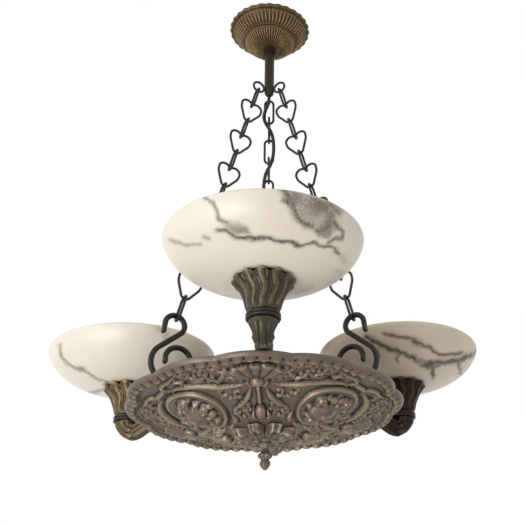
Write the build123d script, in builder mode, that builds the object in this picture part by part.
"""Three-light pendant: bronze dish on three chains, with three alabaster bowls on short arms.

Millimetres, +Z up. The origin is on the ceiling, on the axis of the ceiling hook's screw.
The front of the pendant, where one arm points at the room, is -Y.
"""

import os
from math import asin, cos, degrees, pi, radians, sin, tan

from build123d import *

os.makedirs("parts", exist_ok=True)

# Places round the axis, degrees from +X
ARMS = {"front": -90, "right": 30, "left": 150}
CHAINS = {"left": -150, "right": -30, "rear": 90}
DISH_TURN = -4  # the dish was bolted on a little askew of its arms

# Play between pieces
LINK_PLAY = 0.15  # between the wires of two links that hang in each other
TURN_PLAY = 0.3  # under a piece that turns on its seat
SLIDE_PLAY = 0.2  # round a tube or pin, on the radius
HAIRLINE = 0.1  # between two castings that lie on each other
SINK = 1  # how far a shape runs into the next one it is of a piece with

# Ceiling hook and shackle
HOOK_PLATE_R = 16
HOOK_PLATE_T = 3
HOOK_SCREW_R = 4
HOOK_SCREW_LENGTH = 38
HOOK_WIRE_R = 2.5
HOOK_BEND_R = 8.5  # to the middle of the wire
HOOK_BEND_ANGLE = 290
HOOK_NECK = 6  # plate face to the middle of the wire
SHACKLE_WIRE_R = 2
SHACKLE_BEND_R = 7
SHACKLE_DROP = 10.65  # foot of the hook's wire to the pin
SHACKLE_EYE_R = 5
SHACKLE_EYE_T = 4
PIN_R = 2.5
PIN_HEAD_R = 4
PIN_HEAD_T = 2

# Stem
TUBE_R = 8.5
TUBE_WALL = 2
TUBE_LENGTH = 103.5
LOOP_EYE_R = 6
LOOP_EYE_T = 8
LOOP_NECK_R = 5
LOOP_SHOULDER_T = 2
LOOP_PLUG = 14
EYE_RING_R = 10  # to the middle of the wire
EYE_WIRE_R = 2
EYE_ABOVE_END = 3.5  # middle of the eyes above the tube's end
NOZZLE_R = 6
NOZZLE_MIDDLE_R = 7.5
NOZZLE_TIP_R = 4.35
NOZZLE_LENGTH = 8.5
NOZZLE_PLUG = 10

# Canopy
CANOPY_GAP = 5  # below the ceiling
SKIRT_R = 70.5
SKIRT_DEPTH = 25
SKIRT_HOLE_R = 38
SHEET = 1.5  # metal of skirt and dome
DOME_R = 45
DOME_DEPTH = 22
CANOPY_COLLAR_T = 2.2
CANOPY_COLLAR_H = 10
SET_SCREW_R = 2
SET_SCREW_OUT = 5  # bare shank between collar and head
SET_SCREW_HEAD_R = 2.6
SET_SCREW_HEAD_T = 6
SET_SCREW_EDGE = 0.6
SET_SCREW_TURN = 120

# Chains
LINK_WIRE_R = 2
NARROW_INSIDE = 39  # clear length of a narrow link
NARROW_GAP = 11  # clear width of a narrow link
HEART_INSIDE = 35.9  # clear length of a heart link, notch to foot
HEART_HALF = 19  # half the width, to the middle of the wire
HEART_NOTCH = 0.68  # corner of the notch under the top wire's place
HEART_LOBE = (9.3, 4.3)  # corner of a lobe: aside, and over the top wire's place
HEART_SHOULDER = 1.1  # corner of the shoulder, under the top wire's place
HEART_WAIST = 15
HEART_WAIST_IN = 0.8
HEART_FOOT_HALF = 4.8
HEART_BENDS = (5, 9, 8.5, 20, 7, 7, 20, 8.5, 9)
NARROW_COUNT = 7
HEART_COUNT = 6

# S-hooks, to the middle of the rod
ROD_R = 4.25
ARCH_R = 15
ARCH_INSET = 46  # the upper arch's middle, inward from the rim's notches
HOOK_RISE = 93.3  # that middle above the dish's rim
HOOK_TIP = 15
HOOK_TIP_OUT = 2
DIAGONAL = 41
DIAGONAL_ANGLE = 40
FOOT_R = 30
FOOT_STEM = 7.4
CURL_R = 19.5
CURL_TAIL = 8

# Dish
RIM_NOTCH_R = 195.5
RIM_LOBE_DEPTH = 7.5
RIM_LOBES = 12
RIM_H = 7
RIM_BAND = 8
FIELD_LAP = 2  # the shell runs this far into the rim's band
BELL_PAST = 3  # the bell would level out this far past the shell's edge
FIELD_EDGE = 5.5  # underside of the field where it meets the rim's band
DISH_WALL = 4
DISH_DEPTH = 47
PAD_H = 0.5  # pads under arms and saddles, above the inside
DISH_HOLE_R = 4.5
HUB_PAD_R = 20
HUB_PAD_Z = -36
MEDALLION_INSET = 90.5  # its middle, inward from the rim's notches
MEDALLION_ANGLE = 16
MEDALLION_HALF = (43, 47)
MEDALLION_T = 5
HEAD_HALF = (27, 30)
HEAD_T = 9
SHELL_BOSS_INSET = 59.5
SHELL_BOSS_R = 9
SADDLE_SIZE = (16, 34)
STRAP_T = 2
STRAP_WIDTH = 10
STRAP_FOOT = 32
STRAP_GRIP = 0.5  # the strap's feet lie this far under the rod's lowest point
STRAP_SCREW_AT = 12
STRAP_SCREW_R = 2
STRAP_SCREW_HEAD_R = 3.5
STRAP_SCREW_HEAD_T = 2.5
STRAP_SCREW_LENGTH = 6

# Rosette and finial
ROSETTE_R = 42
ROSETTE_H = 13
ROSETTE_LEAVES = 8
FINIAL_LENGTH = 38.5
FINIAL_TOP_R = 9
FINIAL_NECK_R = 5
FINIAL_KNOB_R = 9.4
FINIAL_CONE_R = 7.6
FINIAL_TIP_R = 1.5
STUD_R = 4
STUD_ABOVE_NUT = 3
NUT_H = 5
NUT_R = 7

# Wiring box in the dish
BOX_R = 45
BOX_H = 24
BOX_WALL = 2
LID_T = 2
BLOCK_SIZE = (16, 36, 12)
BLOCK_AT = 26
OUTLET_H = 14
OUTLET_R = 3.5
GLAND_R = 6
GLAND_LENGTH = 12
GLAND_ANGLE = 8
GROMMET_R = 5
GROMMET_LENGTH = 4

# Arms
ARM_OVERHANG = 54.8  # the cups' middle, outward from the rim's notches
ARM_R = 12
ARM_BORE_R = 4
ELBOW_R = 16
ELBOW_STRAIGHT = 1  # between the elbow and its collar
ARM_ANGLE = 24  # of the arm between elbow and rim
ARM_RUN = 19.2
CREST_R = 30
ARM_OVER_RIM = 0.9
ARM_END_INSET = 36
ARM_FLANGE = (24, 46, 4.5)
ARM_FLANGE_INSET = 25
ARM_SCREW_HALF = 17
ARM_SCREW_R = 2.5
ARM_SCREW_HEAD_R = 4.5
ARM_SCREW_HEAD_T = 3.5
ARM_SCREW_LENGTH = 5
NECK_R = 19
NECK_H = 15

# Collars and cups
COLLAR_R = 22.5
COLLAR_H = 9
COLLAR_ROLL = 2
CUP_FOOT_R = 19
CUP_R = 37
CUP_H = 47
CUP_WALL = 4
CUP_FLOOR = 5
CUP_PETALS = 10
PETAL_NOTCH_R = 3.5
PETAL_NOTCH_DEPTH = 16
PETAL_NOTCH_ANGLE = 8

# Bowls and what holds them
BOWL_R = 131.2
BOWL_DEPTH = 56
BOWL_WALL = 7.5
BOWL_FLAT_R = 38
BOWL_FLOOR = 9
BOWL_LIP = 3
FELT_T = 1.2
FELT_R = 35.5
FELT_HOLE_R = 30
NIPPLE_R = 5
NIPPLE_BORE_R = 3
NIPPLE_INTO_ARM = 10
NIPPLE_ABOVE_NUT = 4
WASHER_R = 25
WASHER_T = 1.5
BOWL_NUT_R = 9
BOWL_NUT_H = 5
HOLDER_R = 14
HOLDER_H = 28
HOLDER_BORE_R = 8
HOLDER_FLOOR = 8
HOLDER_EDGE = 1.5
BULB_R = 20
BULB_CAP_R = 7
BULB_CAP_H = 18
BULB_NECK = (8.5, 4)  # foot of the glass: radius, and height over the cap
BULB_NECK_H = 22

# Flexes
FLEX_R = 3
LEAD_R = 2.5
CLIP_R = 5
CLIP_LENGTH = 12
CLIP_OUT = 9.8  # beside the rod
CLIP_BAND = 1.3
CLIP_BAND_HALF = 3.5  # along the rod
CLIP_DROP = 18  # straight run under the clip
FLEX_LEAVES = 14  # straight run out of the nozzle and into the clip
LEAD_ENTERS = (18, 8)  # straight run of a lead before and after the arm's end

# Places that follow from the rim
RIM_LOBE_R = RIM_NOTCH_R + RIM_LOBE_DEPTH
arch_at = RIM_NOTCH_R - ARCH_INSET
medallion_at = RIM_NOTCH_R - MEDALLION_INSET
shell_boss_at = RIM_NOTCH_R - SHELL_BOSS_INSET
arm_at = RIM_NOTCH_R + ARM_OVERHANG
arm_end = RIM_NOTCH_R - ARM_END_INSET
arm_flange_at = RIM_NOTCH_R - ARM_FLANGE_INSET

# Levels that follow from these sizes
hook_foot_z = -HOOK_PLATE_T - HOOK_NECK - 2 * HOOK_BEND_R
pin_z = hook_foot_z - SHACKLE_DROP + LINK_PLAY
tube_top_z = pin_z - LOOP_EYE_R - LOOP_SHOULDER_T
tube_end_z = tube_top_z - TUBE_LENGTH
eye_z = tube_end_z + EYE_ABOVE_END
eye_at = TUBE_R + EYE_RING_R + EYE_WIRE_R + HAIRLINE

# A chain hangs in line from the middle of its eye to the middle of its hook's arch
links_length = NARROW_COUNT * NARROW_INSIDE + HEART_COUNT * HEART_INSIDE
link_count = NARROW_COUNT + HEART_COUNT
chain_span = links_length - (link_count + 1) * LINK_PLAY - LINK_WIRE_R - ROD_R
chain_line = EYE_RING_R + chain_span + ARCH_R
chain_lean = degrees(asin((arch_at - eye_at) / chain_line))
arch_z = eye_z - chain_line * cos(radians(chain_lean))
rim_z = arch_z - HOOK_RISE

# An arm's elbow is as high as its crest over the rim asks
arm_angle = radians(ARM_ANGLE)
crest_z = rim_z + ARM_OVER_RIM + ARM_R
crest_drop = CREST_R * (1 - cos(arm_angle))
elbow_z = crest_z - crest_drop - ARM_RUN * sin(arm_angle) + ELBOW_R * cos(arm_angle)
collar_z = elbow_z + ELBOW_STRAIGHT
cup_z = collar_z + COLLAR_H
bowl_z = cup_z + CUP_H + FELT_T + TURN_PLAY
box_z = rim_z + HUB_PAD_Z


def polar(radius, angle):
    """A point in the plane of the rim."""
    return (radius * cos(radians(angle)), radius * sin(radians(angle)))


def at(azimuth):
    """Turns a piece that was made over +X to its place round the axis."""
    return Location((0, 0, 0), (0, 0, azimuth))


def save(piece, name):
    """Labels a finished piece and writes it."""
    piece.part.label = name
    export_step(piece.part, f"parts/{name}.step")


# ---------------------------------------------------------------- ceiling hook and shackle
with BuildPart() as ceiling_hook:
    with BuildSketch(Plane.XY.offset(-HOOK_PLATE_T)):
        Circle(HOOK_PLATE_R)
    extrude(amount=HOOK_PLATE_T)
    with BuildSketch(Plane.XY):
        Circle(HOOK_SCREW_R)
    extrude(amount=HOOK_SCREW_LENGTH)
    chamfer(ceiling_hook.faces().sort_by(Axis.Z)[-1].edges(), HOOK_SCREW_R / 3)
    with BuildSketch(Plane.XY.offset(-HOOK_PLATE_T)):
        Circle(HOOK_WIRE_R)
    extrude(amount=-HOOK_NECK - HOOK_WIRE_R)
    with BuildLine(Plane.XZ) as wire:
        JernArc((0, hook_foot_z + 2 * HOOK_BEND_R), (-1, 0), HOOK_BEND_R, HOOK_BEND_ANGLE)
    with BuildSketch(Plane(origin=wire.wires()[0] @ 0, z_dir=wire.wires()[0] % 0)):
        Circle(HOOK_WIRE_R)
    sweep(path=wire.wires()[0])
save(ceiling_hook, "ceiling_hook")

with BuildPart() as shackle_bow:
    bend_z = hook_foot_z + HOOK_WIRE_R + SHACKLE_WIRE_R + LINK_PLAY - SHACKLE_BEND_R
    leg_z = pin_z + SHACKLE_EYE_R - SINK
    with BuildLine(Plane.YZ) as bow:
        Line((SHACKLE_BEND_R, leg_z), (SHACKLE_BEND_R, bend_z))
        JernArc((SHACKLE_BEND_R, bend_z), (0, 1), SHACKLE_BEND_R, 180)
        Line((-SHACKLE_BEND_R, bend_z), (-SHACKLE_BEND_R, leg_z))
    with BuildSketch(Plane(origin=bow.wires()[0] @ 0, z_dir=bow.wires()[0] % 0)):
        Circle(SHACKLE_WIRE_R)
    sweep(path=bow.wires()[0])
    for side in (-1, 1):
        with BuildSketch(Plane(origin=(0, side * SHACKLE_BEND_R, pin_z), z_dir=(0, 1, 0))):
            Circle(SHACKLE_EYE_R)
            Circle(PIN_R, mode=Mode.SUBTRACT)
        extrude(amount=SHACKLE_EYE_T / 2, both=True)
    with BuildSketch(Plane(origin=(0, 0, pin_z), z_dir=(0, 1, 0))):
        Circle(PIN_R)
    extrude(amount=2 * SHACKLE_BEND_R, both=True, mode=Mode.SUBTRACT)
save(shackle_bow, "shackle_bow")

with BuildPart() as shackle_pin:
    pin_half = SHACKLE_BEND_R + SHACKLE_EYE_T / 2
    with BuildSketch(Plane(origin=(0, 0, pin_z), z_dir=(0, 1, 0))):
        Circle(PIN_R)
    extrude(amount=pin_half, both=True)
    for side in (-1, 1):
        with BuildSketch(Plane(origin=(0, side * pin_half, pin_z), z_dir=(0, side, 0))):
            Circle(PIN_HEAD_R)
        extrude(amount=PIN_HEAD_T)
save(shackle_pin, "shackle_pin")

# ---------------------------------------------------------------- stem
with BuildPart() as top_loop:
    with BuildSketch(Plane(origin=(0, 0, pin_z), z_dir=(0, 1, 0))):
        Circle(LOOP_EYE_R)
    extrude(amount=LOOP_EYE_T / 2, both=True)
    with BuildSketch(Plane.XY.offset(tube_top_z)):
        Circle(LOOP_NECK_R)
    extrude(amount=LOOP_SHOULDER_T + LOOP_EYE_R / 2)
    with BuildSketch(Plane.XY.offset(tube_top_z)):
        Circle(TUBE_R)
    extrude(amount=LOOP_SHOULDER_T)
    with BuildSketch(Plane.XY.offset(tube_top_z)):
        Circle(TUBE_R - TUBE_WALL)
    extrude(amount=-LOOP_PLUG)
    with BuildSketch(Plane(origin=(0, 0, pin_z), z_dir=(0, 1, 0))):
        Circle(PIN_R + SLIDE_PLAY)
    extrude(amount=2 * LOOP_EYE_T, both=True, mode=Mode.SUBTRACT)
save(top_loop, "top_loop")

with BuildPart() as stem_tube:
    with BuildSketch(Plane.XY.offset(tube_end_z)):
        Circle(TUBE_R)
        Circle(TUBE_R - TUBE_WALL, mode=Mode.SUBTRACT)
    extrude(amount=TUBE_LENGTH)
    for azimuth in CHAINS.values():
        with BuildSketch(Plane((0, 0, eye_z), z_dir=(cos(radians(azimuth)), sin(radians(azimuth)), 0))):
            Circle(EYE_WIRE_R)
        extrude(amount=2 * TUBE_R, mode=Mode.SUBTRACT)
save(stem_tube, "stem_tube")

with BuildPart() as chain_eye:
    with BuildLine(Plane.XZ) as ring:
        CenterArc((eye_at, eye_z), EYE_RING_R, 0, 360)
    with BuildSketch(Plane(origin=(eye_at + EYE_RING_R, 0, eye_z), z_dir=(0, 0, 1))):
        Circle(EYE_WIRE_R)
    sweep(path=ring.wires()[0])
    with BuildSketch(Plane(origin=(TUBE_R - TUBE_WALL, 0, eye_z), z_dir=(1, 0, 0))):
        Circle(EYE_WIRE_R)
    extrude(amount=TUBE_WALL + EYE_WIRE_R)

with BuildPart() as chain_eyes:
    for azimuth in CHAINS.values():
        add(chain_eye.part.moved(at(azimuth)))
save(chain_eyes, "chain_eyes")

with BuildPart() as cord_nozzle:
    with BuildSketch(Plane.XZ):
        with BuildLine():
            Polyline(
                (0, tube_end_z + NOZZLE_PLUG),
                (NOZZLE_R, tube_end_z + NOZZLE_PLUG),
                (NOZZLE_R, tube_end_z),
                (TUBE_R, tube_end_z),
                (NOZZLE_MIDDLE_R, tube_end_z - NOZZLE_LENGTH / 2),
                (NOZZLE_TIP_R, tube_end_z - NOZZLE_LENGTH),
                (0, tube_end_z - NOZZLE_LENGTH),
                close=True,
            )
        make_face()
    revolve(axis=Axis.Z)
save(cord_nozzle, "cord_nozzle")

# ---------------------------------------------------------------- canopy
skirt_foot_z = -CANOPY_GAP - SKIRT_DEPTH
dome_top_z = skirt_foot_z - HAIRLINE
dome_foot_z = dome_top_z - DOME_DEPTH
collar_r = TUBE_R + SLIDE_PLAY

with BuildPart() as canopy_skirt:
    with BuildSketch(Plane.XZ):
        with BuildLine():
            outer = Spline(
                (SKIRT_R, -CANOPY_GAP),
                (SKIRT_R * 0.93, -CANOPY_GAP - SKIRT_DEPTH * 0.4),
                (SKIRT_R * 0.78, -CANOPY_GAP - SKIRT_DEPTH * 0.8),
                (DOME_R, skirt_foot_z),
            )
            Line(outer @ 1, (SKIRT_HOLE_R, skirt_foot_z))
            Line((SKIRT_HOLE_R, skirt_foot_z), (SKIRT_HOLE_R, skirt_foot_z + SHEET))
            Line((SKIRT_HOLE_R, skirt_foot_z + SHEET), (DOME_R, skirt_foot_z + SHEET))
            inner = Spline(
                (DOME_R, skirt_foot_z + SHEET),
                (SKIRT_R * 0.78 - SHEET, -CANOPY_GAP - SKIRT_DEPTH * 0.8 + SHEET),
                (SKIRT_R * 0.93 - SHEET, -CANOPY_GAP - SKIRT_DEPTH * 0.4 + SHEET / 2),
                (SKIRT_R - SHEET, -CANOPY_GAP),
            )
            Line(inner @ 1, outer @ 0)
        make_face()
    revolve(axis=Axis.Z)
save(canopy_skirt, "canopy_skirt")

with BuildPart() as canopy_dome:
    with BuildSketch(Plane.XZ):
        with BuildLine():
            Line((SKIRT_HOLE_R, dome_top_z), (DOME_R - 1, dome_top_z))
            outer = Spline(
                (DOME_R - 1, dome_top_z),
                (DOME_R * 0.93, dome_top_z - DOME_DEPTH * 0.45),
                (DOME_R * 0.66, dome_top_z - DOME_DEPTH * 0.83),
                (collar_r, dome_foot_z),
            )
            Line(outer @ 1, (collar_r, dome_foot_z + SHEET))
            inner = Spline(
                (collar_r, dome_foot_z + SHEET),
                (DOME_R * 0.66 - SHEET / 2, dome_top_z - DOME_DEPTH * 0.83 + SHEET),
                (DOME_R * 0.93 - SHEET, dome_top_z - DOME_DEPTH * 0.45 + SHEET / 2),
                (DOME_R - 1 - SHEET, dome_top_z - SHEET),
            )
            Line(inner @ 1, (SKIRT_HOLE_R, dome_top_z - SHEET))
            Line((SKIRT_HOLE_R, dome_top_z - SHEET), (SKIRT_HOLE_R, dome_top_z))
        make_face()
    revolve(axis=Axis.Z)
save(canopy_dome, "canopy_dome")

screw_z = dome_foot_z - CANOPY_COLLAR_H / 2
screw_way = (*polar(1, SET_SCREW_TURN), 0)

with BuildPart() as canopy_collar:
    with BuildSketch(Plane.XY.offset(dome_foot_z)):
        Circle(collar_r + CANOPY_COLLAR_T)
        Circle(collar_r, mode=Mode.SUBTRACT)
    extrude(amount=-CANOPY_COLLAR_H)
    with BuildSketch(Plane(origin=(0, 0, screw_z), z_dir=screw_way)):
        Circle(SET_SCREW_R + SLIDE_PLAY / 2)
    extrude(amount=2 * collar_r, mode=Mode.SUBTRACT)
save(canopy_collar, "canopy_collar")

with BuildPart() as canopy_screw:
    head_at = collar_r + CANOPY_COLLAR_T + SET_SCREW_OUT
    with BuildSketch(Plane(origin=(collar_r, 0, screw_z), z_dir=(1, 0, 0))):
        Circle(SET_SCREW_R)
    extrude(amount=head_at - collar_r)
    with BuildSketch(Plane(origin=(head_at, 0, screw_z), z_dir=(1, 0, 0))):
        Circle(SET_SCREW_HEAD_R)
    extrude(amount=SET_SCREW_HEAD_T)
    chamfer(canopy_screw.faces().sort_by(Axis.X)[-1].edges(), SET_SCREW_EDGE)
canopy_screw.part = canopy_screw.part.moved(at(SET_SCREW_TURN))
save(canopy_screw, "canopy_screw")

# ---------------------------------------------------------------- chains
# A link is made hanging from (0, 0, 0), the middle of the wire that carries it, with its
# length down -Z. A narrow link lies in the YZ plane and a heart link in the XZ plane.
narrow_r = NARROW_GAP / 2 + LINK_WIRE_R
hang = 2 * LINK_WIRE_R + LINK_PLAY  # carrying wire up to the link's own top wire

with BuildPart() as narrow_link:
    with BuildLine(Plane.YZ) as loop:
        top_z = hang - narrow_r
        foot_z = hang - NARROW_INSIDE - 2 * LINK_WIRE_R + narrow_r
        Line((narrow_r, foot_z), (narrow_r, top_z))
        JernArc((narrow_r, top_z), (0, 1), narrow_r, 180)
        Line((-narrow_r, top_z), (-narrow_r, foot_z))
        JernArc((-narrow_r, foot_z), (0, -1), narrow_r, 180)
    with BuildSketch(Plane(origin=(0, narrow_r, foot_z))):
        Circle(LINK_WIRE_R)
    sweep(path=loop.wires()[0])

with BuildPart() as heart_link:
    heart_foot = hang - HEART_INSIDE - 2 * LINK_WIRE_R
    with BuildLine(Plane.XZ) as heart:
        lobe_x, lobe_z = HEART_LOBE[0], hang + HEART_LOBE[1]
        waist_x, waist_z = HEART_HALF - HEART_WAIST_IN, hang - HEART_WAIST
        FilletPolyline(
            (0, hang - HEART_NOTCH),
            (lobe_x, lobe_z),
            (HEART_HALF, hang - HEART_SHOULDER),
            (waist_x, waist_z),
            (HEART_FOOT_HALF, heart_foot),
            (-HEART_FOOT_HALF, heart_foot),
            (-waist_x, waist_z),
            (-HEART_HALF, hang - HEART_SHOULDER),
            (-lobe_x, lobe_z),
            radius=list(HEART_BENDS),
            close=True,
        )
    heart_wire = heart.wires()[0]
    with BuildSketch(Plane(origin=heart_wire @ 0.5, z_dir=heart_wire % 0.5)):
        Circle(LINK_WIRE_R)
    sweep(path=heart_wire)

lean = radians(chain_lean)
first_at = eye_at + EYE_RING_R * sin(lean)
first_z = eye_z - EYE_RING_R * cos(lean)


def down_chain(distance):
    """The place of a link whose carrying wire is this far down a chain over +X."""
    place = (first_at + distance * sin(lean), 0, first_z - distance * cos(lean))
    return Location(place, (0, -chain_lean, 0))


narrow_pitch = NARROW_INSIDE - LINK_PLAY
heart_pitch = HEART_INSIDE - LINK_PLAY
pair_pitch = narrow_pitch + heart_pitch

for side, azimuth in CHAINS.items():
    with BuildPart() as narrow_links:
        for count in range(NARROW_COUNT):
            add(narrow_link.part.moved(at(azimuth) * down_chain(count * pair_pitch)))
    save(narrow_links, f"{side}_narrow_links")
    with BuildPart() as heart_links:
        for count in range(HEART_COUNT):
            add(heart_link.part.moved(at(azimuth) * down_chain(narrow_pitch + count * pair_pitch)))
    save(heart_links, f"{side}_heart_links")

# ---------------------------------------------------------------- S-hooks
with BuildPart() as s_hook:
    with BuildLine(Plane.XZ) as rod:
        arch_end = (arch_at + ARCH_R, arch_z)
        Line((arch_at + ARCH_R + HOOK_TIP_OUT, arch_z - HOOK_TIP), arch_end)
        over = JernArc(arch_end, (0, 1), ARCH_R, 270 - DIAGONAL_ANGLE)
        down = Line(over @ 1, over @ 1 + DIAGONAL * (over % 1))
        outside = JernArc(down @ 1, down % 1, FOOT_R, DIAGONAL_ANGLE - 90)
        under = JernArc(outside @ 1, outside % 1, FOOT_R, -180)
        up = Line(under @ 1, under @ 1 + FOOT_STEM * (under % 1))
        curl = JernArc(up @ 1, up % 1, CURL_R, -180)
        Line(curl @ 1, curl @ 1 + CURL_TAIL * (curl % 1))
    rod_wire = rod.wires()[0]
    with BuildSketch(Plane(origin=rod_wire @ 0, z_dir=rod_wire % 0)):
        Circle(ROD_R)
    sweep(path=rod_wire, transition=Transition.ROUND)
foot_at = outside.arc_center.X
foot_z = outside.arc_center.Z - FOOT_R

for side, azimuth in CHAINS.items():
    with BuildPart() as hook:
        add(s_hook.part.moved(at(azimuth)))
    save(hook, f"s_hook_{side}")


# ---------------------------------------------------------------- dish
field_r = RIM_NOTCH_R - RIM_BAND + FIELD_LAP
bell_r = field_r + BELL_PAST


def dish_under(radius):
    """Height of the dish's underside: a bell that is deepest at the hub."""
    bell = (1 + cos(pi * radius / bell_r)) / 2
    return rim_z - FIELD_EDGE - (DISH_DEPTH - FIELD_EDGE) * bell


def dish_curve(start, end, shift, steps=6):
    """Points along the dish's underside, raised by shift."""
    radii = [start + (end - start) * step / steps for step in range(steps + 1)]
    return [(radius, dish_under(radius) + shift) for radius in radii]


def lobed_outline():
    """The rim's edge: equal lobes that meet in shallow notches."""
    step = 360 / RIM_LOBES
    for lobe in range(RIM_LOBES):
        start = DISH_TURN + (lobe - 0.5) * step
        ThreePointArc(
            polar(RIM_NOTCH_R, start),
            polar(RIM_LOBE_R, start + step / 2),
            polar(RIM_NOTCH_R, start + step),
        )


arm_pad_out = arm_flange_at + ARM_FLANGE[0] / 2
arm_flange_z = dish_under(arm_pad_out) + DISH_WALL + PAD_H
saddle_out = foot_at + SADDLE_SIZE[0] / 2
saddle_z = dish_under(saddle_out) + DISH_WALL + PAD_H
pads = [(azimuth, foot_at, SADDLE_SIZE, saddle_z, saddle_out) for azimuth in CHAINS.values()]
pads += [
    (azimuth, arm_flange_at, ARM_FLANGE[:2], arm_flange_z, arm_pad_out)
    for azimuth in ARMS.values()
]

with BuildPart() as dish:
    with BuildSketch(Plane.XZ):
        with BuildLine():
            under_line = Spline(*dish_curve(DISH_HOLE_R, field_r, 0))
            Line(under_line @ 1, (field_r, dish_under(field_r) + DISH_WALL))
            inside = Spline(*dish_curve(field_r, DISH_HOLE_R, DISH_WALL))
            Line(inside @ 1, under_line @ 0)
        make_face()
    revolve(axis=Axis.Z)
    with BuildSketch(Plane.XY.offset(rim_z)):
        with BuildLine():
            lobed_outline()
        make_face()
        Circle(RIM_NOTCH_R - RIM_BAND, mode=Mode.SUBTRACT)
    extrude(amount=-RIM_H)
    with BuildSketch(Plane.XY.offset(box_z)):
        Circle(HUB_PAD_R)
        Circle(DISH_HOLE_R, mode=Mode.SUBTRACT)
    extrude(amount=dish_under(HUB_PAD_R) + SINK - box_z)
    for azimuth, pad_at, size, top_z, out in pads:
        with BuildSketch(Plane((*polar(pad_at, azimuth), top_z), x_dir=(*polar(1, azimuth), 0))):
            Rectangle(size[0], size[1])
        extrude(amount=dish_under(out) + DISH_WALL / 4 - top_z)
    slope = radians(MEDALLION_ANGLE)
    for azimuth in CHAINS.values():
        turned = azimuth + DISH_TURN
        place = (*polar(medallion_at, turned), dish_under(medallion_at) + DISH_WALL / 2)
        outward = (*polar(sin(slope), turned), -cos(slope))
        along = (*polar(cos(slope), turned), sin(slope))
        for half, height in ((MEDALLION_HALF, MEDALLION_T), (HEAD_HALF, HEAD_T)):
            with BuildSketch(Plane(origin=place, x_dir=along, z_dir=outward)):
                Ellipse(*half)
            extrude(amount=height + DISH_WALL / 2)
    boss_z = dish_under(shell_boss_at) + DISH_WALL / 2
    for azimuth in ARMS.values():
        with Locations((*polar(shell_boss_at, azimuth + DISH_TURN), boss_z)):
            Sphere(SHELL_BOSS_R)
    for azimuth in ARMS.values():
        with BuildSketch(Plane((0, 0, arm_flange_z)) * at(azimuth)):
            with Locations((arm_flange_at, -ARM_SCREW_HALF), (arm_flange_at, ARM_SCREW_HALF)):
                Circle(ARM_SCREW_R)
        extrude(amount=-ARM_SCREW_LENGTH, mode=Mode.SUBTRACT)
save(dish, "dish")

rosette_top = dish_curve(DISH_HOLE_R, ROSETTE_R, -HAIRLINE)
rosette_foot_z = rim_z - DISH_DEPTH - ROSETTE_H

with BuildPart() as rosette:
    with BuildSketch(Plane.XZ):
        with BuildLine():
            top_line = Spline(*rosette_top)
            leaf = Spline(
                (ROSETTE_R, rosette_top[-1][1]),
                (ROSETTE_R * 0.8, rosette_top[-1][1] - ROSETTE_H * 0.5),
                (ROSETTE_R * 0.4, rosette_foot_z + ROSETTE_H * 0.25),
                (ROSETTE_R * 0.26, rosette_foot_z),
            )
            Polyline(leaf @ 1, (DISH_HOLE_R, rosette_foot_z), top_line @ 0)
        make_face()
    revolve(axis=Axis.Z)
    with BuildSketch(Plane.XY.offset(rosette_foot_z)):
        with PolarLocations(ROSETTE_R * 1.08, ROSETTE_LEAVES):
            Circle(ROSETTE_R / 5)
    extrude(amount=2 * ROSETTE_H, mode=Mode.SUBTRACT)
save(rosette, "rosette")

nut_z = box_z + BOX_WALL
finial_z = rosette_foot_z - TURN_PLAY

with BuildPart() as finial:
    tip_z = finial_z - FINIAL_LENGTH
    with BuildSketch(Plane.XZ):
        with BuildLine():
            Line((0, finial_z), (FINIAL_TOP_R, finial_z))
            neck = Spline(
                (FINIAL_TOP_R, finial_z),
                (FINIAL_NECK_R, finial_z - FINIAL_LENGTH * 0.15),
                (FINIAL_NECK_R * 1.08, finial_z - FINIAL_LENGTH * 0.33),
                (FINIAL_KNOB_R, finial_z - FINIAL_LENGTH * 0.46),
                (FINIAL_NECK_R, finial_z - FINIAL_LENGTH * 0.6),
                (FINIAL_CONE_R, finial_z - FINIAL_LENGTH * 0.74),
                (FINIAL_TIP_R, tip_z),
            )
            Polyline(neck @ 1, (0, tip_z), (0, finial_z))
        make_face()
    revolve(axis=Axis.Z)
    with BuildSketch(Plane.XY.offset(finial_z)):
        Circle(STUD_R)
    extrude(amount=nut_z + NUT_H + STUD_ABOVE_NUT - finial_z)
save(finial, "finial")

with BuildPart() as finial_nut:
    with BuildSketch(Plane.XY.offset(nut_z)):
        RegularPolygon(radius=NUT_R, side_count=6)
        Circle(STUD_R + SLIDE_PLAY, mode=Mode.SUBTRACT)
    extrude(amount=NUT_H)
save(finial_nut, "finial_nut")

# ---------------------------------------------------------------- saddles of the S-hooks
saddle_top_z = foot_z - STRAP_GRIP
strap_z = saddle_top_z + STRAP_T
screw_spots = ((foot_at, -STRAP_SCREW_AT), (foot_at, STRAP_SCREW_AT))

with BuildPart() as saddle:
    with BuildSketch(Plane.XY.offset(saddle_z)):
        with Locations((foot_at, 0)):
            Rectangle(*SADDLE_SIZE)
        with Locations(*screw_spots):
            Circle(STRAP_SCREW_R, mode=Mode.SUBTRACT)
    extrude(amount=saddle_top_z - saddle_z)
    add(s_hook.part, mode=Mode.SUBTRACT)

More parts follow.
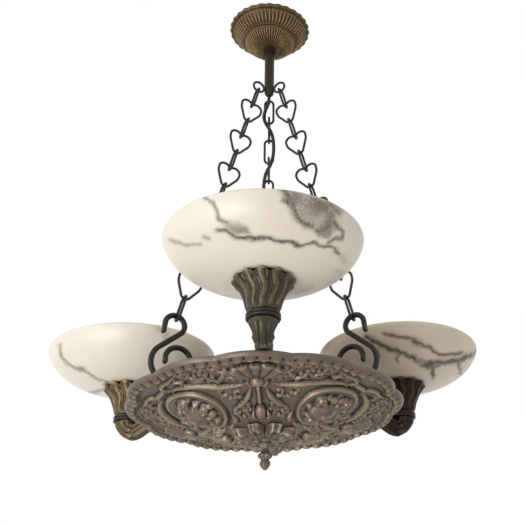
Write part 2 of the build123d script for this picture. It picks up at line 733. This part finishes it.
with BuildPart() as strap:
    with BuildSketch(Plane((foot_at, 0, foot_z), z_dir=(1, 0, 0))):
        Circle(ROD_R + STRAP_T)
    extrude(amount=STRAP_WIDTH / 2, both=True)
    with BuildSketch(Plane.XY.offset(saddle_top_z)):
        with Locations((foot_at, 0)):
            Rectangle(STRAP_WIDTH, STRAP_FOOT)
    extrude(amount=STRAP_T)
    with BuildSketch(Plane.XY.offset(saddle_top_z)):
        with Locations((foot_at, 0)):
            Rectangle(*SADDLE_SIZE)
    extrude(amount=-2 * ROD_R, mode=Mode.SUBTRACT)
    with BuildSketch(Plane.XY.offset(saddle_top_z)):
        with Locations(*screw_spots):
            Circle(STRAP_SCREW_R)
    extrude(amount=STRAP_T, mode=Mode.SUBTRACT)
    add(s_hook.part, mode=Mode.SUBTRACT)

with BuildPart() as strap_screw:
    with BuildSketch(Plane.XY.offset(strap_z)):
        with Locations(*screw_spots):
            Circle(STRAP_SCREW_HEAD_R)
    extrude(amount=STRAP_SCREW_HEAD_T)
    with BuildSketch(Plane.XY.offset(strap_z)):
        with Locations(*screw_spots):
            Circle(STRAP_SCREW_R)
    extrude(amount=-STRAP_SCREW_LENGTH)


def group(piece, places, name):
    """Writes one like piece for each place round the axis, in one file."""
    with BuildPart() as pieces:
        for azimuth in places.values():
            add(piece.part.moved(at(azimuth)))
    save(pieces, name)


group(saddle, CHAINS, "hook_saddles")
group(strap, CHAINS, "hook_straps")
group(strap_screw, CHAINS, "strap_screws")

# ---------------------------------------------------------------- wiring box
outlet_z = box_z + OUTLET_H

with BuildPart() as junction_box:
    with BuildSketch(Plane.XY.offset(box_z)):
        Circle(BOX_R)
    extrude(amount=BOX_H)
    with BuildSketch(Plane.XY.offset(nut_z)):
        Circle(BOX_R - BOX_WALL)
    extrude(amount=BOX_H, mode=Mode.SUBTRACT)
    with BuildSketch(Plane.XY.offset(box_z)):
        Circle(DISH_HOLE_R)
    extrude(amount=BOX_WALL, mode=Mode.SUBTRACT)
    for azimuth in (*ARMS.values(), CHAINS["rear"]):
        with BuildSketch(Plane((0, 0, outlet_z), z_dir=(*polar(1, azimuth), 0))):
            Circle(OUTLET_R)
        extrude(amount=BOX_R + BOX_WALL, mode=Mode.SUBTRACT)
save(junction_box, "junction_box")

with BuildPart() as junction_lid:
    with BuildSketch(Plane.XY.offset(box_z + BOX_H)):
        Circle(BOX_R)
    extrude(amount=LID_T)
    fillet(junction_lid.edges().group_by(Axis.Z)[-1], LID_T / 2)
    with BuildSketch(Plane.XY.offset(box_z + BOX_H)):
        Circle(BOX_R - BOX_WALL - SLIDE_PLAY)
    extrude(amount=-LID_T)
save(junction_lid, "junction_lid")

with BuildPart() as terminal_block:
    with BuildSketch(Plane.XY.offset(nut_z)):
        with Locations((-BLOCK_AT, 0)):
            Rectangle(BLOCK_SIZE[0], BLOCK_SIZE[1])
    extrude(amount=BLOCK_SIZE[2])
save(terminal_block, "terminal_block")

with BuildPart() as outlet:
    with BuildSketch(Plane((BOX_R, 0, outlet_z), z_dir=(1, 0, 0))):
        Circle(GROMMET_R)
    extrude(amount=GROMMET_LENGTH)
    with BuildSketch(Plane((BOX_R, 0, outlet_z), z_dir=(1, 0, 0))):
        Circle(OUTLET_R)
    extrude(amount=-BOX_WALL)
group(outlet, ARMS, "lead_grommets")

with BuildPart() as flex_gland:
    with BuildSketch(Plane((BOX_R, 0, outlet_z), z_dir=(1, 0, 0))):
        Circle(GLAND_R)
    extrude(amount=GLAND_LENGTH, taper=GLAND_ANGLE)
    with BuildSketch(Plane((BOX_R, 0, outlet_z), z_dir=(1, 0, 0))):
        Circle(OUTLET_R)
    extrude(amount=-BOX_WALL)
flex_gland.part = flex_gland.part.moved(at(CHAINS["rear"]))
save(flex_gland, "flex_gland")

# ---------------------------------------------------------------- arms
with BuildPart() as arm:
    with BuildLine(Plane.XZ) as spine:
        Line((arm_at, collar_z), (arm_at, elbow_z))
        elbow = JernArc((arm_at, elbow_z), (0, -1), ELBOW_R, -90 - ARM_ANGLE)
        run = Line(elbow @ 1, elbow @ 1 + ARM_RUN * (elbow % 1))
        crest = JernArc(run @ 1, run % 1, CREST_R, ARM_ANGLE)
        Line(crest @ 1, (arm_end, crest_z))
    spine_wire = spine.wires()[0]
    with BuildSketch(Plane(origin=spine_wire @ 0, z_dir=spine_wire % 0)):
        Circle(ARM_R)
    sweep(path=spine_wire)
    with BuildSketch(Plane.XY.offset(collar_z)):
        with Locations((arm_at, 0)):
            Circle(NECK_R)
    extrude(amount=-NECK_H, taper=degrees(asin((NECK_R - ARM_R) / NECK_H)))
    with BuildSketch(Plane.XY.offset(arm_flange_z)):
        with Locations((arm_flange_at, 0)):
            Rectangle(*ARM_FLANGE[:2])
        with Locations((arm_flange_at, -ARM_SCREW_HALF), (arm_flange_at, ARM_SCREW_HALF)):
            Circle(ARM_SCREW_R, mode=Mode.SUBTRACT)
    extrude(amount=ARM_FLANGE[2])
    with BuildSketch(Plane(origin=spine_wire @ 0, z_dir=spine_wire % 0)):
        Circle(ARM_BORE_R)
    sweep(path=spine_wire, mode=Mode.SUBTRACT)
    with BuildSketch(Plane.XY.offset(collar_z)):
        with Locations((arm_at, 0)):
            Circle(NIPPLE_R)
    extrude(amount=-NIPPLE_INTO_ARM, mode=Mode.SUBTRACT)

with BuildPart() as arm_screw:
    for side in (-1, 1):
        with BuildSketch(Plane((arm_flange_at, side * ARM_SCREW_HALF, arm_flange_z + ARM_FLANGE[2]))):
            Circle(ARM_SCREW_HEAD_R)
        extrude(amount=ARM_SCREW_HEAD_T)
        with BuildSketch(Plane((arm_flange_at, side * ARM_SCREW_HALF, arm_flange_z + ARM_FLANGE[2]))):
            Circle(ARM_SCREW_R)
        extrude(amount=-ARM_FLANGE[2] - ARM_SCREW_LENGTH)
group(arm_screw, ARMS, "arm_screws")

# ---------------------------------------------------------------- collars, cups and nipples
with BuildPart() as collar:
    with BuildSketch(Plane.XZ):
        with BuildLine():
            ring_h = COLLAR_H / 2
            groove = arm_at + COLLAR_R - COLLAR_ROLL
            Line((arm_at + NIPPLE_R, collar_z), (groove, collar_z))
            ThreePointArc(
                (groove, collar_z),
                (arm_at + COLLAR_R, collar_z + ring_h / 2),
                (groove, collar_z + ring_h),
            )
            ThreePointArc(
                (groove, collar_z + ring_h),
                (arm_at + COLLAR_R, collar_z + 1.5 * ring_h),
                (groove, cup_z),
            )
            Line((groove, cup_z), (arm_at + NIPPLE_R, cup_z))
            Line((arm_at + NIPPLE_R, cup_z), (arm_at + NIPPLE_R, collar_z))
        make_face()
    revolve(axis=Axis((arm_at, 0, 0), (0, 0, 1)))
group(collar, ARMS, "cup_collars")

cup_top_z = cup_z + CUP_H
with BuildPart() as cup:
    with BuildSketch(Plane.XZ):
        with BuildLine():
            flare = Spline(
                (arm_at + CUP_FOOT_R, cup_z),
                (arm_at + CUP_FOOT_R + (CUP_R - CUP_FOOT_R) * 0.3, cup_z + CUP_H * 0.38),
                (arm_at + CUP_FOOT_R + (CUP_R - CUP_FOOT_R) * 0.72, cup_z + CUP_H * 0.74),
                (arm_at + CUP_R, cup_top_z),
            )
            Line(flare @ 1, (arm_at + CUP_R - 2 * CUP_WALL, cup_top_z))
            hollow = Spline(
                (arm_at + CUP_R - 2 * CUP_WALL, cup_top_z),
                (arm_at + CUP_FOOT_R + (CUP_R - CUP_FOOT_R) * 0.5 - CUP_WALL, cup_z + CUP_H * 0.6),
                (arm_at + CUP_FOOT_R - CUP_WALL, cup_z + CUP_FLOOR),
            )
            Polyline(
                hollow @ 1,
                (arm_at + NIPPLE_R, cup_z + CUP_FLOOR),
                (arm_at + NIPPLE_R, cup_z),
                flare @ 0,
            )
        make_face()
    revolve(axis=Axis((arm_at, 0, 0), (0, 0, 1)))
    with BuildSketch(Plane.XY.offset(cup_top_z)):
        with Locations((arm_at, 0)):
            with PolarLocations(CUP_R + PETAL_NOTCH_R / 2, CUP_PETALS):
                Circle(PETAL_NOTCH_R)
    extrude(amount=-PETAL_NOTCH_DEPTH, taper=PETAL_NOTCH_ANGLE, mode=Mode.SUBTRACT)

bowl_floor_z = bowl_z + BOWL_FLOOR
washer_z = bowl_floor_z + TURN_PLAY
bowl_nut_z = washer_z + WASHER_T
holder_z = bowl_nut_z + BOWL_NUT_H
bulb_z = holder_z + HOLDER_FLOOR + TURN_PLAY

with BuildPart() as nipple:
    with BuildSketch(Plane.XY.offset(collar_z - NIPPLE_INTO_ARM)):
        with Locations((arm_at, 0)):
            Circle(NIPPLE_R)
            Circle(NIPPLE_BORE_R, mode=Mode.SUBTRACT)
    extrude(amount=holder_z + NIPPLE_ABOVE_NUT - collar_z + NIPPLE_INTO_ARM)
group(nipple, ARMS, "nipples")

# ---------------------------------------------------------------- bowls and their fixings
with BuildPart() as felt_ring:
    with BuildSketch(Plane.XY.offset(cup_top_z)):
        with Locations((arm_at, 0)):
            Circle(FELT_R)
            Circle(FELT_HOLE_R, mode=Mode.SUBTRACT)
    extrude(amount=FELT_T)
group(felt_ring, ARMS, "felt_rings")

with BuildPart() as bowl:
    with BuildSketch(Plane.XZ):
        with BuildLine():
            rim = (arm_at + BOWL_R, bowl_z + BOWL_DEPTH)
            hole = arm_at + NIPPLE_R + SLIDE_PLAY
            outer = Spline(
                (arm_at + BOWL_FLAT_R, bowl_z),
                (arm_at + BOWL_R * 0.73, bowl_z + BOWL_DEPTH * 0.27),
                rim,
                tangents=((1, 0.06), (0, 1)),
            )
            Line(rim, (rim[0] - BOWL_WALL, rim[1]))
            inner = Spline(
                (rim[0] - BOWL_WALL, rim[1]),
                (arm_at + BOWL_R * 0.69, bowl_z + BOWL_DEPTH * 0.27 + BOWL_WALL * 0.9),
                (arm_at + BOWL_FLAT_R, bowl_floor_z),
                tangents=((0, -1), (-1, -0.06)),
            )
            Polyline(inner @ 1, (hole, bowl_floor_z), (hole, bowl_z), outer @ 0)
        make_face()
    revolve(axis=Axis((arm_at, 0, 0), (0, 0, 1)))
    fillet(bowl.edges().group_by(Axis.Z)[-1], BOWL_LIP)

with BuildPart() as bowl_washer:
    with BuildSketch(Plane.XY.offset(washer_z)):
        with Locations((arm_at, 0)):
            Circle(WASHER_R)
            Circle(NIPPLE_R, mode=Mode.SUBTRACT)
    extrude(amount=WASHER_T)
group(bowl_washer, ARMS, "bowl_washers")

with BuildPart() as bowl_nut:
    with BuildSketch(Plane.XY.offset(bowl_nut_z)):
        with Locations((arm_at, 0)):
            RegularPolygon(radius=BOWL_NUT_R, side_count=6)
            Circle(NIPPLE_R, mode=Mode.SUBTRACT)
    extrude(amount=BOWL_NUT_H)
group(bowl_nut, ARMS, "bowl_nuts")

with BuildPart() as lampholder:
    with BuildSketch(Plane.XY.offset(holder_z)):
        with Locations((arm_at, 0)):
            Circle(HOLDER_R)
    extrude(amount=HOLDER_H)
    fillet(lampholder.edges().group_by(Axis.Z)[-1], HOLDER_EDGE)
    with BuildSketch(Plane.XY.offset(holder_z + HOLDER_FLOOR)):
        with Locations((arm_at, 0)):
            Circle(HOLDER_BORE_R)
    extrude(amount=HOLDER_H, mode=Mode.SUBTRACT)
    with BuildSketch(Plane.XY.offset(holder_z)):
        with Locations((arm_at, 0)):
            Circle(NIPPLE_R)
    extrude(amount=NIPPLE_ABOVE_NUT, mode=Mode.SUBTRACT)

with BuildPart() as bulb:
    globe_z = bulb_z + BULB_CAP_H + BULB_NECK_H
    join = radians(-50)
    with BuildSketch(Plane.XZ):
        with BuildLine():
            shoulder = (arm_at + BULB_R * cos(join), globe_z + BULB_R * sin(join))
            Polyline(
                (arm_at, bulb_z),
                (arm_at + BULB_CAP_R, bulb_z),
                (arm_at + BULB_CAP_R, bulb_z + BULB_CAP_H),
                (arm_at + BULB_NECK[0], bulb_z + BULB_CAP_H + BULB_NECK[1]),
                shoulder,
            )
            ThreePointArc(shoulder, (arm_at + BULB_R, globe_z), (arm_at, globe_z + BULB_R))
            Line((arm_at, globe_z + BULB_R), (arm_at, bulb_z))
        make_face()
    revolve(axis=Axis((arm_at, 0, 0), (0, 0, 1)))

for side, azimuth in ARMS.items():
    for name, piece in (
        ("arm", arm),
        ("cup", cup),
        ("bowl", bowl),
        ("lampholder", lampholder),
        ("bulb", bulb),
    ):
        with BuildPart() as placed:
            add(piece.part.moved(at(azimuth)))
        save(placed, f"{name}_{side}")

# ---------------------------------------------------------------- flexes
clip_mid = down @ 0.5

with BuildPart() as flex_clip:
    with BuildSketch(Plane((clip_mid.X, CLIP_OUT, clip_mid.Z - CLIP_LENGTH / 2))):
        Circle(CLIP_R)
    extrude(amount=CLIP_LENGTH)
    with BuildSketch(Plane(origin=clip_mid, z_dir=down % 0.5)):
        Circle(ROD_R + CLIP_BAND)
        Circle(ROD_R, mode=Mode.SUBTRACT)
    extrude(amount=CLIP_BAND_HALF, both=True)
flex_clip.part = flex_clip.part.moved(at(CHAINS["rear"]))
save(flex_clip, "flex_clip")

# The main flex leaves the nozzle and is woven down the rear chain. Its points are given along
# the chain: down it, away from the axis, and aside.
MAIN_ROUTE = (
    (27, -19.5, 8.6),
    (37.5, -9.5, 9.3),
    (62.9, -6.5, -8.5),
    (110.4, -6.8, -8.2),
    (137.4, -6.5, 8.4),
    (185, -6.4, 8.8),
    (212, -6.6, -8.3),
    (259.6, -6.5, -8.6),
    (286.6, -6.7, 8.5),
    (334.2, -6.5, 8.2),
    (361.2, -6.4, -8.6),
    (408.8, -6.5, -8.4),
    (435.8, -6.8, 8.6),
    (460, -7.2, 11.2),
    (480, -2.5, 14.3),
)
# The dish flex goes from the gland out to the clip, and a lead from its grommet out to where it
# enters the arm. Their points are given as a share of that way, aside, and over the rim's plane.
DISH_ROUTE = ((0.953, 10.8, 20), (0.72, 9, 1), (0.446, 3, -13), (0.213, 0, -22))
LEAD_ROUTE = ((0.16, 0, -22), (0.46, -3, -17), (0.76, 2, -2))
BEND_SHARE = 0.45  # of the shorter run, taken by each bend


def bend_radii(points):
    """The radius of each bend of a flex, as large as its two runs allow."""
    radii = []
    for before, point, after in zip(points, points[1:], points[2:]):
        run_in = Vector(point) - Vector(before)
        run_out = Vector(after) - Vector(point)
        shorter = min(run_in.length, run_out.length)
        radii.append(BEND_SHARE * shorter / tan(radians(run_in.get_angle(run_out) / 2)))
    return radii


def flex(points, radius, azimuth, name):
    """A round flex along its route, made over +X and turned to its place."""
    radii = bend_radii(points)
    with BuildPart() as tube:
        with BuildLine() as route:
            FilletPolyline(*points, radius=radii)
        wire = route.wires()[0]
        with BuildSketch(Plane(origin=wire @ 0, z_dir=wire % 0)):
            Circle(radius)
        sweep(path=wire)
    ratio = tube.part.volume / (pi * radius**2 * wire.length)
    print(name, "length", round(wire.length, 1), "least bend", round(min(radii), 1), "fill", round(ratio, 4))
    tube.part = tube.part.moved(at(azimuth))
    save(tube, name)


def beside_chain(down_it, away, aside):
    """A point given along a chain over +X, from the middle of its eye's wire."""
    return (
        first_at + down_it * sin(lean) + away * cos(lean),
        aside,
        first_z - down_it * cos(lean) + away * sin(lean),
    )


def between(inner, outer, route):
    """Points of a route whose ways out are shares of the way between two radii."""
    return [(inner + share * (outer - inner), aside, rim_z + height) for share, aside, height in route]


clip_top = (clip_mid.X, CLIP_OUT, clip_mid.Z + CLIP_LENGTH / 2)
flex_top_z = tube_end_z - NOZZLE_LENGTH - TURN_PLAY
main_points = [(0, 0, flex_top_z), (0, 0, flex_top_z - FLEX_LEAVES)]
main_points += [beside_chain(*point) for point in MAIN_ROUTE]
main_points += [
    (*clip_top[:2], clip_top[2] + FLEX_LEAVES),
    (*clip_top[:2], clip_top[2] + TURN_PLAY),
]
flex(main_points, FLEX_R, CHAINS["rear"], "main_flex")

gland_end = BOX_R + GLAND_LENGTH
dish_points = [(*clip_top[:2], clip_top[2] - lower) for lower in (CLIP_LENGTH, CLIP_LENGTH + CLIP_DROP)]
dish_points += between(gland_end, clip_mid.X, DISH_ROUTE) + [(gland_end, 0, outlet_z)]
flex(dish_points, FLEX_R, CHAINS["rear"], "dish_flex")

grommet_end = BOX_R + GROMMET_LENGTH
lead_turns = arm_end - LEAD_ENTERS[0]
lead_points = [(grommet_end, 0, outlet_z), *between(grommet_end, lead_turns, LEAD_ROUTE)]
lead_points += [(lead_turns, 0, crest_z), (arm_end + LEAD_ENTERS[1], 0, crest_z)]
for side, azimuth in ARMS.items():
    flex(lead_points, LEAD_R, azimuth, f"arm_lead_{side}")

print("rim", round(rim_z, 2), "hook foot", round(foot_at, 1), "bowl rim", round(bowl_z + BOWL_DEPTH, 1))
print("collar", round(collar_z, 2), "cup", round(cup_z, 2), "crest", round(crest_z, 2), "lean", round(chain_lean, 3))
